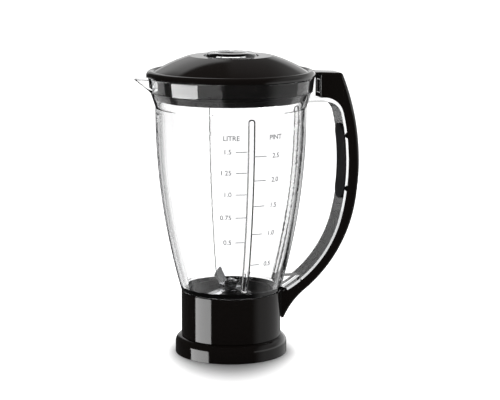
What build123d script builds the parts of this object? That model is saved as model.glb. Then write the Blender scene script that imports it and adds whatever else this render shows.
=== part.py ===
from build123d import *
import os
from math import asin, cos, degrees, radians, sin, sqrt

# Blender jar in millimetres: +Z is up, +X points to the handle and -X to the spout.
# The origin is on the jar's axis, in the plane of the foot.

# Overlaps and margins shared by several pieces
embed = 1.0
cutter_margin = 1.0
slack = 0.01

# Foot ring
ring_flange = 5.8
ring_height = 16.2
ring_shoulder_height = 6.5
ring_shoulder_gap = 0.8
ring_wall = 2.6
ring_bore_wall = 3.5
ring_groove_depth = 6.5
locating_bore_inset = 2.6
locating_bore_depth = 8.0

# Collar that clamps the blade unit under the jar
collar_r = 46.6
collar_wall = 2.7
collar_height = 42.7
collar_edge_fillet = 0.8
collar_step = 2.0
crease_gap = 0.3
spigot_wall = 2.1
spigot_clearance = 0.2
shelf_rise = 14.5
shelf_thickness = 3.0
shelf_lip = 1.6

# Blade housing
flange_thickness = 3.0
housing_inset = 5.9
housing_wall = 2.5
dish_rim_rise = 0.8
dish_depth = 9.5
dish_valley_share = 0.42
hub_r = 12.0
hub_drop = 4.0
hub_length = 32.0
housing_rib_count = 6
housing_rib_thickness = 2.4
housing_rib_rise = 6.0
side_clearance = 0.5

# Jar seal, squeezed between the flange and the jar's foot
jar_seal_thickness = 2.3

# Jar
wall = 2.8
foot_clearance = 0.6
foot_wall = 3.0
shoulder_gap = 0.4
shoulder_overhang = 0.1
shoulder_fillet = 2.0
floor_ledge_rise = 4.9
floor_ledge_drop = 4.0
bottom_wall = 3.6
body_height = 168.4
body_r = 70.0
flare_rise = 4.5
flare_inner_drop = 1.0
neck_height = 14.0
band_flare = 5.6
band_step = 1.0
band_edge_fillet = 0.4
band_height = 13.5
rim_flare = 1.6
rim_fillet = 0.9
rib_count = 4
rib_width = 6.0
rib_depth = 4.5
rib_end_fillet = 3.0
rib_side_fillet = 2.6
clamp_lug_count = 4
clamp_lug_arc = 40.0
clamp_lug_height = 3.0
clamp_lug_depth = 1.8
clamp_lug_rise = 9.0
clamp_lug_gap = 0.1
lid_lug_angles = (236.0, 56.0)
lid_lug_arc = 24.0
lid_lug_depth = 0.8
lid_lug_rise = 0.5
lid_lug_height = 7.5

# Spout
spout_length = 19.8
spout_half_width = 26.0
spout_root_inset = 17.2
spout_tip_fillet = 7.0
spout_low_length = 3.4
spout_low_half_width = 16.0
spout_low_root_inset = 23.6
spout_low_fillet = 4.0
spout_wall = 2.4

# Handle: a clear strap moulded with the jar, and a black cover over its outside
handle_width = 26.0
grip_reach = 27.7
grip_drop = 62.8
grip_r = 205.0
grip_lean = 13.5
grip_turn = 14.4
lower_r = 106.0
lower_sweep = 47.9
strap_drop = 21.2
strap_t = 2.2
root_t = 4.2
root_reach = 6.6
root_width = 22.0
tenon_length = 9.0
tenon_width = 14.0
tenon_height = 12.0
web_width = 12.0
web_rise = 9.9
cover_depth = 11.2
cover_rise = 2.6
cover_top_drop = 1.2
cover_grip_turn = 10.2
cover_lower_r = 130.7
cover_lower_sweep = 42.7
cover_tail_length = 27.8
cover_tail_width = 2.5
cover_tail_drop = 0.6
cover_tail_gap = 0.8
cover_edge_fillet = 3.0
cover_corner_fillet = 3.5
cover_wall = 2.4
cover_pocket_sweep = 30.0
tongue_gap = 0.7
strap_gap = 0.15
pocket_overlap = 1.0
fit_clearance = 0.3
screw_angles = (7.0, -7.0)
screw_shank_r = 1.45
screw_head_r = 2.8
screw_head_depth = 1.4
screw_head_sink = 0.1
screw_length = 9.0
screw_slot_length = 3.0
screw_slot_width = 0.8
screw_slot_depth = 0.9
boss_r = 3.6
pad_thickness = 1.2
pad_width = 24.0
pad_upper_angle = 10.4
pad_lower_angle = -9.8
pad_end_flat = 0.8
pad_edge_fillet = 0.6

# Lid and its seal
lid_overhang = 1.0
lid_gap = 0.3
bead_height = 5.4
bead_width = 5.6
bead_foot = 1.2
groove_drop = 1.2
lid_wall = 2.4
dome_inset = 7.0
crown_r = 38.5
crown_height = 19.0
dome_lip_r = 26.0
dome_sagitta = 1.2
dome_inner_sagitta = 0.6
skirt_wall = 2.3
skirt_drop = 21.0
skirt_gap = 2.4
seal_groove_depth = 1.0
seal_rise = 1.4
seal_height = 5.2
seal_lip_height = 4.2
seal_clearance = 0.3
filler_hole_r = 20.3
filler_seat_depth = 3.5
filler_tube_length = 10.0
filler_lip = 0.7

# Filler cap
cap_clearance = 0.4
cap_wall = 2.0
cap_flange_inset = 0.5
cap_flange_height = 1.6
cap_rise = 6.2
cap_top_r = 21.0
cap_dish_depth = 2.2
cap_dish_r = 17.0
cap_depth = 16.5

# Rotor: shaft, blades, nut and drive coupling
shaft_r = 4.0
running_clearance = 0.05
press_clearance = 0.02
bush_r = 7.0
bush_length = 11.0
bush_chamfer = 0.5
shaft_seal_r = 9.0
shaft_seal_height = 5.5
shaft_seal_gap = 0.3
shaft_seal_lip = 0.6
shaft_chamfer = 0.5
shoulder_clearance = 0.4
shaft_shoulder_r = 6.5
shaft_shoulder_height = 1.8
spindle_r = 3.0
spindle_flat = 2.4
blade_t = 1.5
blade_clearance = 0.05
blade_root_width = 15.0
blade_tip_width = 4.0
blade_tip_rake = 4.0
blade_bend_x = 10.5
blade_bend_r = 3.0
blade_up_angle = 52.0
blade_up_length = 17.5
blade_down_angle = 10.0
blade_down_length = 18.0
blade_bevel_width = 3.0
blade_edge_land = 0.4
blade_bevel_start = 3.0
lower_blade_angle = 18.0
upper_blade_angle = 108.0
spacer_thickness = 1.5
nut_flats = 11.0
nut_height = 4.6
nut_dome_r = 4.6
nut_dome_height = 2.4
spindle_end_gap = 0.6
washer_r = 7.5
washer_t = 0.8
washer_gap = 0.3
circlip_t = 1.0
circlip_r = 6.4
circlip_mouth = 3.0
circlip_groove_depth = 0.6
coupling_r = 17.0
coupling_drop = 14.5
coupling_height = 11.0
coupling_floor = 4.5
coupling_wall = 3.0
coupling_tooth_count = 6
coupling_tooth_width = 4.2
coupling_tooth_depth = 4.0
coupling_chamfer = 1.0

# Heights and radii that follow from the values above
collar_bottom_z = ring_height + crease_gap
collar_top_z = collar_bottom_z + collar_height
shelf_z = collar_bottom_z + shelf_rise
dish_rim_z = collar_top_z + dish_rim_rise
dish_floor_z = dish_rim_z - dish_depth
hub_top_z = dish_rim_z - hub_drop
hub_bottom_z = hub_top_z - hub_length
housing_rib_bottom_z = shelf_z + housing_rib_rise
clamp_lug_z = shelf_z + clamp_lug_rise
coupling_bottom_z = hub_bottom_z - coupling_drop
collar_inner_r = collar_r - collar_wall
spigot_r = collar_r - collar_step
ring_r = collar_r + ring_flange
ring_shoulder_r = collar_r + ring_shoulder_gap
locating_bore_r = spigot_r - locating_bore_inset
housing_r = collar_inner_r - housing_inset
dish_valley_r = hub_r + (housing_r - hub_r) * dish_valley_share
shelf_inner_r = housing_r - shelf_lip
flange_top_z = shelf_z + flange_thickness
flange_r = collar_inner_r - side_clearance
foot_z = flange_top_z + jar_seal_thickness
foot_bore_r = housing_r + foot_clearance
foot_r = foot_bore_r + foot_wall
shoulder_r = collar_r + shoulder_overhang
band_r = body_r + band_flare
rim_r = band_r + rim_flare
lid_r = rim_r + lid_overhang
dome_edge_r = lid_r - dome_inset
spout_reach = rim_r + spout_length
spout_root_x = rim_r - spout_root_inset
spout_low_reach = band_r + spout_low_length
spout_low_root_x = band_r - spout_low_root_inset
root_x = rim_r + root_reach
grip_x = root_x + grip_reach
shoulder_z = collar_top_z + shoulder_gap
floor_ledge_z = shoulder_z + floor_ledge_rise
web_top_z = shoulder_z + web_rise
arc_top_z = shoulder_z + body_height
flare_z = arc_top_z + flare_rise
band_z = flare_z + neck_height
rim_z = band_z + band_height
lid_lug_z = band_z + lid_lug_rise
body_arc_r = ((body_r - shoulder_r) ** 2 + body_height**2) / (2 * (body_r - shoulder_r))
ledge_drop = arc_top_z - floor_ledge_z
ledge_outer_r = body_r - body_arc_r + sqrt(body_arc_r**2 - ledge_drop**2)
inner_bottom_r = ledge_outer_r - bottom_wall
inner_body_r = body_r - wall
inner_flare_z = flare_z - flare_inner_drop
lid_z = rim_z + lid_gap
crown_z = lid_z + crown_height
seat_z = crown_z - filler_seat_depth
skirt_bottom_z = rim_z - skirt_drop
seal_z = skirt_bottom_z + seal_rise
strap_top_z = rim_z - strap_drop
cover_top_z = rim_z + cover_rise
grip_z = strap_top_z - grip_drop
grip_cx = grip_x - grip_r
lower_cx = grip_cx + (grip_r - lower_r) * cos(radians(grip_turn))
lower_cz = grip_z - (grip_r - lower_r) * sin(radians(grip_turn))


def flare_inner_r(z):
    """Inner radius of the jar's flared neck at height z."""
    return inner_body_r + (z - inner_flare_z) * (band_r - body_r) / (band_z - inner_flare_z)


def radial_plane(angle):
    """Upright plane through the axis, with its x direction at the given angle from +X."""
    turn = radians(angle)
    return Plane(origin=(0, 0, 0), x_dir=(cos(turn), sin(turn), 0), z_dir=(sin(turn), -cos(turn), 0))


def keep(piece, name):
    """Label a finished piece and write its STEP file."""
    piece.part.label = name
    export_step(piece.part, f"parts/{name}.step")


def grip_chain(start_x, face_z, shift, sweep):
    """Draw one face of the handle strap: a straight root, a bend, the grip and the lower arc.

    shift moves the face in towards the fingers. The two ends are returned.
    """
    lean = radians(grip_lean)
    arc_r = grip_r - shift
    bend_end_x = grip_cx + arc_r * cos(lean)
    bend_end_z = grip_z + arc_r * sin(lean)
    bend_r = (face_z - bend_end_z) / (1 - sin(lean))
    root = Line((start_x, face_z), (bend_end_x - bend_r * cos(lean), face_z))
    bend = JernArc(root @ 1, (1, 0), bend_r, grip_lean - 90)
    grip = JernArc(bend @ 1, bend % 1, arc_r, -grip_lean - grip_turn)
    lower = JernArc(grip @ 1, grip % 1, lower_r - shift, -sweep)
    return root @ 0, lower @ 1


def spout_outline(reach, half_width, base_x, tip_fillet):
    """Draw one level of the spout: a wedge with a rounded tip at -X."""
    nose = FilletPolyline((-base_x, -half_width), (-reach, 0), (-base_x, half_width), radius=tip_fillet)
    Line(nose @ 1, nose @ 0)


def cover_chain(start_x, inset, sweep):
    """Draw the outside of the handle cover from its top edge to its lower arc, inset by a wall."""
    arc_r = grip_r + cover_depth - inset
    corner_z = cover_top_z - cover_top_drop - inset
    corner_angle = asin((corner_z - grip_z) / arc_r)
    top = Line((start_x, cover_top_z - inset), (grip_cx + arc_r * cos(corner_angle), corner_z))
    grip_sweep = -degrees(corner_angle) - cover_grip_turn
    grip = CenterArc((grip_cx, grip_z), arc_r, degrees(corner_angle), grip_sweep)
    lower = JernArc(grip @ 1, grip % 1, cover_lower_r - inset, -sweep)
    return top, grip, lower


def grip_plane(angle, shift):
    """Plane on a face of the grip at an angle up its arc, facing out of the handle."""
    turn = radians(angle)
    reach = grip_r - shift
    origin = (grip_cx + reach * cos(turn), 0, grip_z + reach * sin(turn))
    return Plane(origin=origin, x_dir=(0, 1, 0), z_dir=(cos(turn), 0, sin(turn)))


os.makedirs("parts", exist_ok=True)

# Foot ring: rounded shoulder, stepped bore for the collar's spigot and a moulded groove underneath
with BuildPart() as base_ring:
    with BuildSketch(Plane.XZ):
        with BuildLine():
            shoulder_start_z = ring_height - ring_shoulder_height
            side = Line((ring_r, 0), (ring_r, shoulder_start_z))
            shoulder = TangentArc(side @ 1, (ring_shoulder_r, ring_height), tangent=(0, 1))
            Polyline(
                shoulder @ 1,
                (spigot_r + spigot_clearance, ring_height),
                (spigot_r + spigot_clearance, locating_bore_depth),
                (locating_bore_r, locating_bore_depth),
                (locating_bore_r, 0),
                side @ 0,
            )
        make_face()
    revolve(axis=Axis.Z)
    with BuildSketch(Plane.XY):
        Circle(ring_r - ring_wall)
        Circle(locating_bore_r + ring_bore_wall, mode=Mode.SUBTRACT)
    extrude(amount=ring_groove_depth, mode=Mode.SUBTRACT)
keep(base_ring, "base_ring")

# Collar: a plain tube with a shelf for the blade unit, a spigot for the ring and four clamp lugs
with BuildPart() as base_collar:
    with BuildSketch(Plane.XZ):
        with BuildLine():
            Polyline(
                (spigot_r, locating_bore_depth + spigot_clearance),
                (spigot_r, collar_bottom_z),
                (collar_r, collar_bottom_z),
                (collar_r, collar_top_z),
                (collar_inner_r, collar_top_z),
                (collar_inner_r, shelf_z),
                (shelf_inner_r, shelf_z),
                (shelf_inner_r, shelf_z - shelf_thickness),
                (spigot_r - spigot_wall, shelf_z - shelf_thickness),
                (spigot_r - spigot_wall, locating_bore_depth + spigot_clearance),
                close=True,
            )
        make_face()
    revolve(axis=Axis.Z)
    top_circles = base_collar.edges().filter_by(GeomType.CIRCLE).group_by(Axis.Z)[-1]
    fillet(top_circles.sort_by(SortBy.RADIUS)[-1], collar_edge_fillet)
    collar_lug_z = clamp_lug_z + clamp_lug_height + clamp_lug_gap
    for lug in range(clamp_lug_count):
        with BuildSketch(radial_plane(lug * 360 / clamp_lug_count - clamp_lug_arc / 2)):
            with BuildLine():
                Polyline(
                    (collar_inner_r + embed, collar_lug_z),
                    (collar_inner_r - clamp_lug_depth, collar_lug_z),
                    (collar_inner_r - clamp_lug_depth, collar_lug_z + clamp_lug_height),
                    (collar_inner_r + embed, collar_lug_z + clamp_lug_height),
                    close=True,
                )
            make_face()
        revolve(axis=Axis.Z, revolution_arc=clamp_lug_arc)
keep(base_collar, "base_collar")

# Blade housing: a clamped flange, a cup wall, a dished floor and the bearing hub
with BuildPart() as blade_housing:
    with BuildSketch(Plane.XZ):
        with BuildLine():
            dish = ThreePointArc(
                (housing_r - housing_wall, dish_rim_z),
                (dish_valley_r, dish_floor_z),
                (hub_r, hub_top_z),
            )
            Polyline(
                dish @ 1,
                (shaft_seal_r + press_clearance, hub_top_z),
                (shaft_seal_r + press_clearance, hub_top_z - shaft_seal_height),
                (bush_r + press_clearance, hub_top_z - shaft_seal_height),
                (bush_r + press_clearance, hub_bottom_z),
                (hub_r, hub_bottom_z),
                (hub_r, dish_floor_z - housing_wall),
                (dish_valley_r, dish_floor_z - housing_wall),
                (housing_r - housing_wall, dish_floor_z + housing_wall),
                (housing_r - housing_wall, shelf_z),
                (flange_r, shelf_z),
                (flange_r, flange_top_z),
                (housing_r, flange_top_z),
                (housing_r, dish_rim_z),
                dish @ 0,
            )
        make_face()
    revolve(axis=Axis.Z)
    for rib in range(housing_rib_count):
        with BuildSketch(radial_plane(rib * 360 / housing_rib_count)):
            with BuildLine():
                Polyline(
                    (hub_r - embed, housing_rib_bottom_z),
                    (housing_r - housing_wall / 2, housing_rib_bottom_z),
                    (housing_r - housing_wall / 2, dish_floor_z - housing_wall / 2),
                    (hub_r - embed, dish_floor_z - housing_wall / 2),
                    close=True,
                )
            make_face()
        extrude(amount=housing_rib_thickness / 2, both=True)
keep(blade_housing, "blade_housing")

# Seal ring between the housing's flange and the jar's foot
with BuildPart() as jar_seal:
    with BuildSketch(Plane.XY.offset(flange_top_z)):
        Circle(flange_r)
        Circle(housing_r + side_clearance / 2, mode=Mode.SUBTRACT)
    extrude(amount=jar_seal_thickness)
keep(jar_seal, "jar_seal")

# One upright rib of the jar's inside, later repeated round the axis
with BuildPart() as jar_rib:
    with BuildSketch(Plane.XZ):
        with BuildLine():
            rib_face = TangentArc(
                (inner_body_r - rib_depth, arc_top_z),
                (inner_bottom_r - rib_depth, floor_ledge_z),
                tangent=(0, -1),
            )
            rib_back = TangentArc(
                (inner_body_r + embed, arc_top_z),
                (inner_bottom_r + embed, floor_ledge_z),
                tangent=(0, -1),
            )
            Line(rib_face @ 0, rib_back @ 0)
            Line(rib_face @ 1, rib_back @ 1)
        make_face()
    extrude(amount=rib_width / 2, both=True)
    inner_top = jar_rib.edges().filter_by(Axis.Y).group_by(Axis.Z)[-1].sort_by(Axis.X)[0]
    inner_low = jar_rib.edges().filter_by(Axis.Y).group_by(Axis.Z)[0].sort_by(Axis.X)[0]
    fillet([inner_top, inner_low], rib_end_fillet)
    rib_arcs = jar_rib.edges().filter_by(GeomType.CIRCLE)
    side_arcs = rib_arcs.filter_by(lambda arc: abs(arc.center().Y) > rib_width / 4)
    fillet(side_arcs.sort_by(SortBy.LENGTH)[:-2], rib_side_fillet)

# Jar: the outer form with its spout and handle strap, hollowed, then ribbed
with BuildPart() as jar:
    with BuildSketch(Plane.YZ):
        with BuildLine():
            body = TangentArc((body_r, arc_top_z), (shoulder_r, shoulder_z), tangent=(0, -1))
            Polyline(
                body @ 1,
                (foot_r, shoulder_z),
                (foot_r, foot_z),
                (0, foot_z),
                (0, rim_z),
                (rim_r, rim_z),
                (band_r, band_z),
                (band_r - band_step, band_z),
                (body_r, flare_z),
                body @ 0,
            )
        make_face()
    revolve(axis=Axis.Z)
    rounded_edges = ((shoulder_z, shoulder_fillet), (band_z, band_edge_fillet), (rim_z, rim_fillet))
    for edge_z, edge_fillet in rounded_edges:
        circles = jar.edges().filter_by(GeomType.CIRCLE)
        level = circles.filter_by_position(Axis.Z, edge_z - slack, edge_z + slack)
        fillet(level.sort_by(SortBy.RADIUS)[-1], edge_fillet)
    # Spout, tapering from the band to the rim
    with BuildSketch(Plane.XY.offset(band_z)):
        with BuildLine():
            spout_outline(spout_low_reach, spout_low_half_width, spout_low_root_x, spout_low_fillet)
        make_face()
    with BuildSketch(Plane.XY.offset(rim_z)):
        with BuildLine():
            spout_outline(spout_reach, spout_half_width, spout_root_x, spout_tip_fillet)
        make_face()
    loft()
    # Strap handle with its root block, tenon and lower web
    with BuildSketch(Plane.XZ):
        with BuildLine():
            outer_start, outer_end = grip_chain(body_r - wall / 2, strap_top_z, 0, lower_sweep)
            inner_start, inner_end = grip_chain(body_r - wall / 2, strap_top_z - root_t, strap_t, lower_sweep)
            Line(outer_start, inner_start)
            Line(outer_end, inner_end)
        make_face()
    extrude(amount=handle_width / 2, both=True)
    with BuildSketch(Plane.XZ):
        with BuildLine():
            Polyline(
                (body_r, strap_top_z - root_t),
                (root_x, strap_top_z - root_t),
                (root_x, rim_z),
                (body_r, rim_z),
                close=True,
            )
        make_face()
    extrude(amount=root_width / 2, both=True)
    tenon_z = (strap_top_z + rim_z) / 2
    with BuildSketch(Plane.YZ.offset(root_x)):
        with Locations((0, tenon_z)):
            Rectangle(tenon_width, tenon_height)
    extrude(amount=tenon_length)
    with BuildSketch(Plane.XZ):
        with BuildLine():
            web_reach = lower_r - strap_t / 2
            web_x = lower_cx + sqrt(web_reach**2 - (web_top_z - lower_cz) ** 2)
            Polyline(
                (shoulder_r - wall, shoulder_z + shoulder_fillet),
                (shoulder_r - wall, web_top_z),
                (web_x, web_top_z),
                (outer_end + inner_end) / 2,
                close=True,
            )
        make_face()
    extrude(amount=web_width / 2, both=True)
    # Hollow the body, the neck and the foot in one turn
    with BuildSketch(Plane.XZ):
        with BuildLine():
            inside = TangentArc((inner_body_r, arc_top_z), (inner_bottom_r, floor_ledge_z), tangent=(0, -1))
            Polyline(
                inside @ 1,
                (foot_bore_r, floor_ledge_z - floor_ledge_drop),
                (foot_bore_r, foot_z),
                (0, foot_z),
                (0, rim_z),
                (rim_r - wall, rim_z),
                (band_r - wall, band_z),
                (inner_body_r, inner_flare_z),
                inside @ 0,
            )
        make_face()
    revolve(axis=Axis.Z, mode=Mode.SUBTRACT)
    with BuildSketch(Plane.XY.offset(band_z + spout_wall)):
        with BuildLine():
            spout_outline(spout_low_reach, spout_low_half_width, spout_low_root_x, spout_low_fillet)
        make_face()
        offset(amount=-spout_wall, mode=Mode.REPLACE)
    with BuildSketch(Plane.XY.offset(rim_z)):
        with BuildLine():
            spout_outline(spout_reach, spout_half_width, spout_root_x, spout_tip_fillet)
        make_face()
        offset(amount=-spout_wall, mode=Mode.REPLACE)
    loft(mode=Mode.SUBTRACT)
    with PolarLocations(0, rib_count):
        add(jar_rib.part)
    # Clamp lugs round the foot and two lid lugs inside the band
    for lug in range(clamp_lug_count):
        with BuildSketch(radial_plane(lug * 360 / clamp_lug_count - clamp_lug_arc / 2)):
            with BuildLine():
                Polyline(
                    (foot_r - embed, clamp_lug_z),
                    (foot_r + clamp_lug_depth, clamp_lug_z),
                    (foot_r + clamp_lug_depth, clamp_lug_z + clamp_lug_height),
                    (foot_r - embed, clamp_lug_z + clamp_lug_height),
                    close=True,
                )
            make_face()
        revolve(axis=Axis.Z, revolution_arc=clamp_lug_arc)
    band_lean = (rim_r - band_r) / (rim_z - band_z)
    lug_low_r = band_r - wall + (lid_lug_z - band_z) * band_lean
    lug_high_r = lug_low_r + lid_lug_height * band_lean
    for angle in lid_lug_angles:
        with BuildSketch(radial_plane(angle - lid_lug_arc / 2)):
            with BuildLine():
                Polyline(
                    (lug_low_r - lid_lug_depth, lid_lug_z),
                    (lug_low_r + wall / 2, lid_lug_z),
                    (lug_high_r + wall / 2, lid_lug_z + lid_lug_height),
                    (lug_high_r - lid_lug_depth, lid_lug_z + lid_lug_height),
                    close=True,
                )
            make_face()
        revolve(axis=Axis.Z, revolution_arc=lid_lug_arc)
    # Countersunk holes for the cover's screws
    for angle in screw_angles:
        with BuildSketch(grip_plane(angle, strap_t)):
            Circle(screw_shank_r + fit_clearance / 2)
        extrude(amount=strap_t + cutter_margin, mode=Mode.SUBTRACT)
        with BuildSketch(grip_plane(angle, strap_t)):
            Circle(screw_head_r + fit_clearance / 2)
        with BuildSketch(grip_plane(angle, strap_t - screw_head_depth)):
            Circle(screw_shank_r + fit_clearance / 2)
        loft(mode=Mode.SUBTRACT)
keep(jar, "jar")

# Handle cover: a hollow shell round the outside of the strap, with a tail that follows the collar
with BuildPart() as handle_cover:
    with BuildSketch(Plane.XZ) as cover_side:
        with BuildLine():
            top, grip, lower = cover_chain(root_x, 0, cover_lower_sweep)
            tail_end = (collar_r + cover_tail_width, collar_top_z - cover_tail_length)
            tail = TangentArc(lower @ 1, tail_end, tangent=lower % 1)
            inner_start, inner_end = grip_chain(root_x, strap_top_z + strap_gap, -strap_gap, lower_sweep)
            tail_back_x = collar_r - 2 * cover_edge_fillet
            tail_low_z = (tail @ 1).Y - cover_tail_drop
            Polyline(tail @ 1, (tail_back_x, tail_low_z), (tail_back_x, inner_end.Y), inner_end)
            Line(top @ 0, inner_start)
        make_face()
        fillet(cover_side.vertices().sort_by(Axis.Y)[-2], cover_corner_fillet)
    extrude(amount=handle_width / 2, both=True)
    grip_middle = grip @ 0.5
    long_edges = [
        handle_cover.edges().sort_by_distance((grip_middle.X, side * handle_width / 2, grip_middle.Y))[0]
        for side in (-1, 1)
    ]
    fillet(long_edges, cover_edge_fillet)
    with BuildSketch(Plane.XY):
        Circle(collar_r + cover_tail_gap)
    extrude(amount=rim_z, mode=Mode.SUBTRACT)
    # Pocket, open to the strap
    with BuildSketch(Plane.XZ):
        with BuildLine():
            pocket_turn = cover_pocket_sweep + grip_turn - cover_grip_turn
            top, grip, lower = cover_chain(root_x + cover_wall, cover_wall, pocket_turn)
            inner_start, inner_end = grip_chain(
                root_x + cover_wall, strap_top_z - pocket_overlap, pocket_overlap, cover_pocket_sweep)
            Line(top @ 0, inner_start)
            Line(lower @ 1, inner_end)
        make_face()
    extrude(amount=handle_width / 2 - cover_wall, both=True, mode=Mode.SUBTRACT)
    with BuildSketch(Plane.YZ.offset(root_x)):
        with Locations((0, tenon_z)):
            Rectangle(tenon_width + 2 * fit_clearance, tenon_height + 2 * fit_clearance)
    extrude(amount=2 * cover_wall, mode=Mode.SUBTRACT)
    # Thin tongue that reaches over the clear root to the lid
    with BuildSketch(Plane.XZ):
        with BuildLine():
            Polyline(
                (lid_r + tongue_gap, rim_z + tongue_gap),
                (root_x + cover_wall / 2, rim_z + tongue_gap),
                (root_x, cover_top_z),
                (lid_r + tongue_gap, cover_top_z),
                close=True,
            )
        make_face()
    extrude(amount=root_width / 2, both=True)
    # Screw bosses with pilot holes
    for angle in screw_angles:
        with BuildSketch(grip_plane(angle, -strap_gap)):
            Circle(boss_r)
        extrude(amount=cover_depth - cover_wall / 2)
        with BuildSketch(grip_plane(angle, -strap_gap)):
            Circle(screw_shank_r + press_clearance)
        extrude(amount=screw_length - strap_t + fit_clearance, mode=Mode.SUBTRACT)
keep(handle_cover, "handle_cover")

# Two countersunk screws that hold the cover to the strap
with BuildPart() as handle_screws:
    for angle in screw_angles:
        with BuildSketch(grip_plane(angle, strap_t - screw_head_sink)):
            Circle(screw_head_r)
        with BuildSketch(grip_plane(angle, strap_t - screw_head_sink - screw_head_depth)):
            Circle(screw_shank_r)
        loft()
        with BuildSketch(grip_plane(angle, strap_t - screw_head_sink - screw_head_depth)):
            Circle(screw_shank_r)
        extrude(amount=screw_length - screw_head_depth)
        with BuildSketch(grip_plane(angle, strap_t - screw_head_sink)):
            Rectangle(screw_slot_length, screw_slot_width)
            Rectangle(screw_slot_width, screw_slot_length)
        extrude(amount=screw_slot_depth, mode=Mode.SUBTRACT)
keep(handle_screws, "handle_screws")

# Soft grip pad along the fingers' side of the strap
with BuildPart() as grip_pad:
    with BuildSketch(Plane.XZ):
        with BuildLine():
            pad_arc = pad_upper_angle - pad_lower_angle
            back = CenterArc((grip_cx, grip_z), grip_r - strap_t - strap_gap, pad_lower_angle, pad_arc)
            face_r = grip_r - strap_t - strap_gap - pad_thickness
            face = CenterArc((grip_cx, grip_z), face_r, pad_lower_angle, pad_arc)
            Line(back @ 0, face @ 0)
            Line(back @ 1, face @ 1)
        make_face()
    extrude(amount=pad_width / 2, both=True)
    pad_corners = grip_pad.edges().group_by(SortBy.LENGTH)[0]
    fillet(pad_corners, pad_width / 2 - pad_end_flat)
    pad_face = grip_pad.faces().sort_by(SortBy.AREA)[-2:].sort_by(Axis.X)[0]
    fillet(pad_face.edges(), pad_edge_fillet)
keep(grip_pad, "grip_pad")

# Lid: a shallow dome with a flat crown, a seat for the filler cap, a rim bead and a plug skirt
skirt_r = flare_inner_r(skirt_bottom_z) - skirt_gap
with BuildPart() as lid:
    with BuildSketch(Plane.XZ):
        with BuildLine():
            groove_z = lid_z + bead_height - groove_drop
            dome = SagittaArc((crown_r, crown_z), (dome_edge_r, groove_z), dome_sagitta)
            bead_start = (lid_r - bead_width, lid_z + bead_height)
            bead = TangentArc((lid_r, lid_z + bead_foot), bead_start, tangent=(0, 1))
            dome_in = SagittaArc(
                (crown_r, crown_z - lid_wall),
                (skirt_r - skirt_wall, groove_z),
                dome_inner_sagitta,
            )
            Line(dome @ 1, bead_start)
            Polyline(
                bead @ 0,
                (lid_r, lid_z),
                (skirt_r, lid_z),
                (skirt_r, seal_z + seal_height),
                (skirt_r - seal_groove_depth, seal_z + seal_height),
                (skirt_r - seal_groove_depth, seal_z),
                (skirt_r, seal_z),
                (skirt_r, skirt_bottom_z),
                (skirt_r - skirt_wall, skirt_bottom_z),
                dome_in @ 1,
            )
            Polyline(
                dome_in @ 0,
                (dome_lip_r + lid_wall / 2, crown_z - lid_wall),
                (dome_lip_r + lid_wall / 2, seat_z - lid_wall),
                (filler_hole_r + lid_wall, seat_z - lid_wall),
                (filler_hole_r + lid_wall, seat_z - filler_tube_length),
                (filler_hole_r, seat_z - filler_tube_length),
                (filler_hole_r, seat_z),
                (dome_lip_r - filler_lip, seat_z),
                (dome_lip_r - filler_lip, crown_z - filler_lip),
                (dome_lip_r, crown_z),
                dome @ 0,
            )
        make_face()
    revolve(axis=Axis.Z)
keep(lid, "lid")

# Lid seal: a conical rubber ring that sits in the skirt's groove and meets the flared neck
with BuildPart() as lid_seal:
    seal_inner_r = skirt_r - seal_groove_depth + press_clearance
    seal_low_z = seal_z + press_clearance
    seal_high_z = seal_z + seal_height - press_clearance
    lip_z = seal_z + seal_lip_height
    with BuildSketch(Plane.XZ):
        with BuildLine():
            Polyline(
                (seal_inner_r, seal_low_z),
                (flare_inner_r(seal_low_z) - seal_clearance, seal_low_z),
                (flare_inner_r(lip_z) - seal_clearance, lip_z),
                (skirt_r + seal_clearance, seal_high_z),
                (seal_inner_r, seal_high_z),
                close=True,
            )
        make_face()
    revolve(axis=Axis.Z)
keep(lid_seal, "lid_seal")

# Filler cap: a clear cup that hangs in the lid's hole from a flange, with a dished top
with BuildPart() as filler_cap:
    with BuildSketch(Plane.XZ):
        with BuildLine():
            flange_z = seat_z + lid_gap
            cap_top_z = flange_z + cap_rise
            cap_r = filler_hole_r - cap_clearance
            cap_flange_r = dome_lip_r - filler_lip - cap_flange_inset
            bowl = TangentArc((0, cap_top_z - cap_dish_depth), (cap_dish_r, cap_top_z), tangent=(1, 0))
            Polyline(
                bowl @ 1,
                (cap_top_r, cap_top_z),
                (cap_flange_r, flange_z + cap_flange_height),
                (cap_flange_r, flange_z),
                (cap_r, flange_z),
                (cap_r, flange_z - cap_depth),
                (cap_r - cap_wall, flange_z - cap_depth),
                (cap_r - cap_wall, cap_top_z - cap_dish_depth - cap_wall),
                (0, cap_top_z - cap_dish_depth - cap_wall),
                bowl @ 0,
            )
        make_face()
    revolve(axis=Axis.Z)
keep(filler_cap, "filler_cap")

# Two plain bushes pressed into the hub, and the shaft seal above them
upper_bush_top_z = hub_top_z - shaft_seal_height
for bush_name, bush_z in (("upper_bush", upper_bush_top_z - bush_length), ("lower_bush", hub_bottom_z)):
    with BuildPart() as bush:
        with BuildSketch(Plane.XY.offset(bush_z)):
            Circle(bush_r)
            Circle(shaft_r + running_clearance, mode=Mode.SUBTRACT)
        extrude(amount=bush_length)
        chamfer(bush.edges().filter_by(GeomType.CIRCLE).sort_by(SortBy.RADIUS)[-2:], bush_chamfer)
    keep(bush, bush_name)

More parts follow.
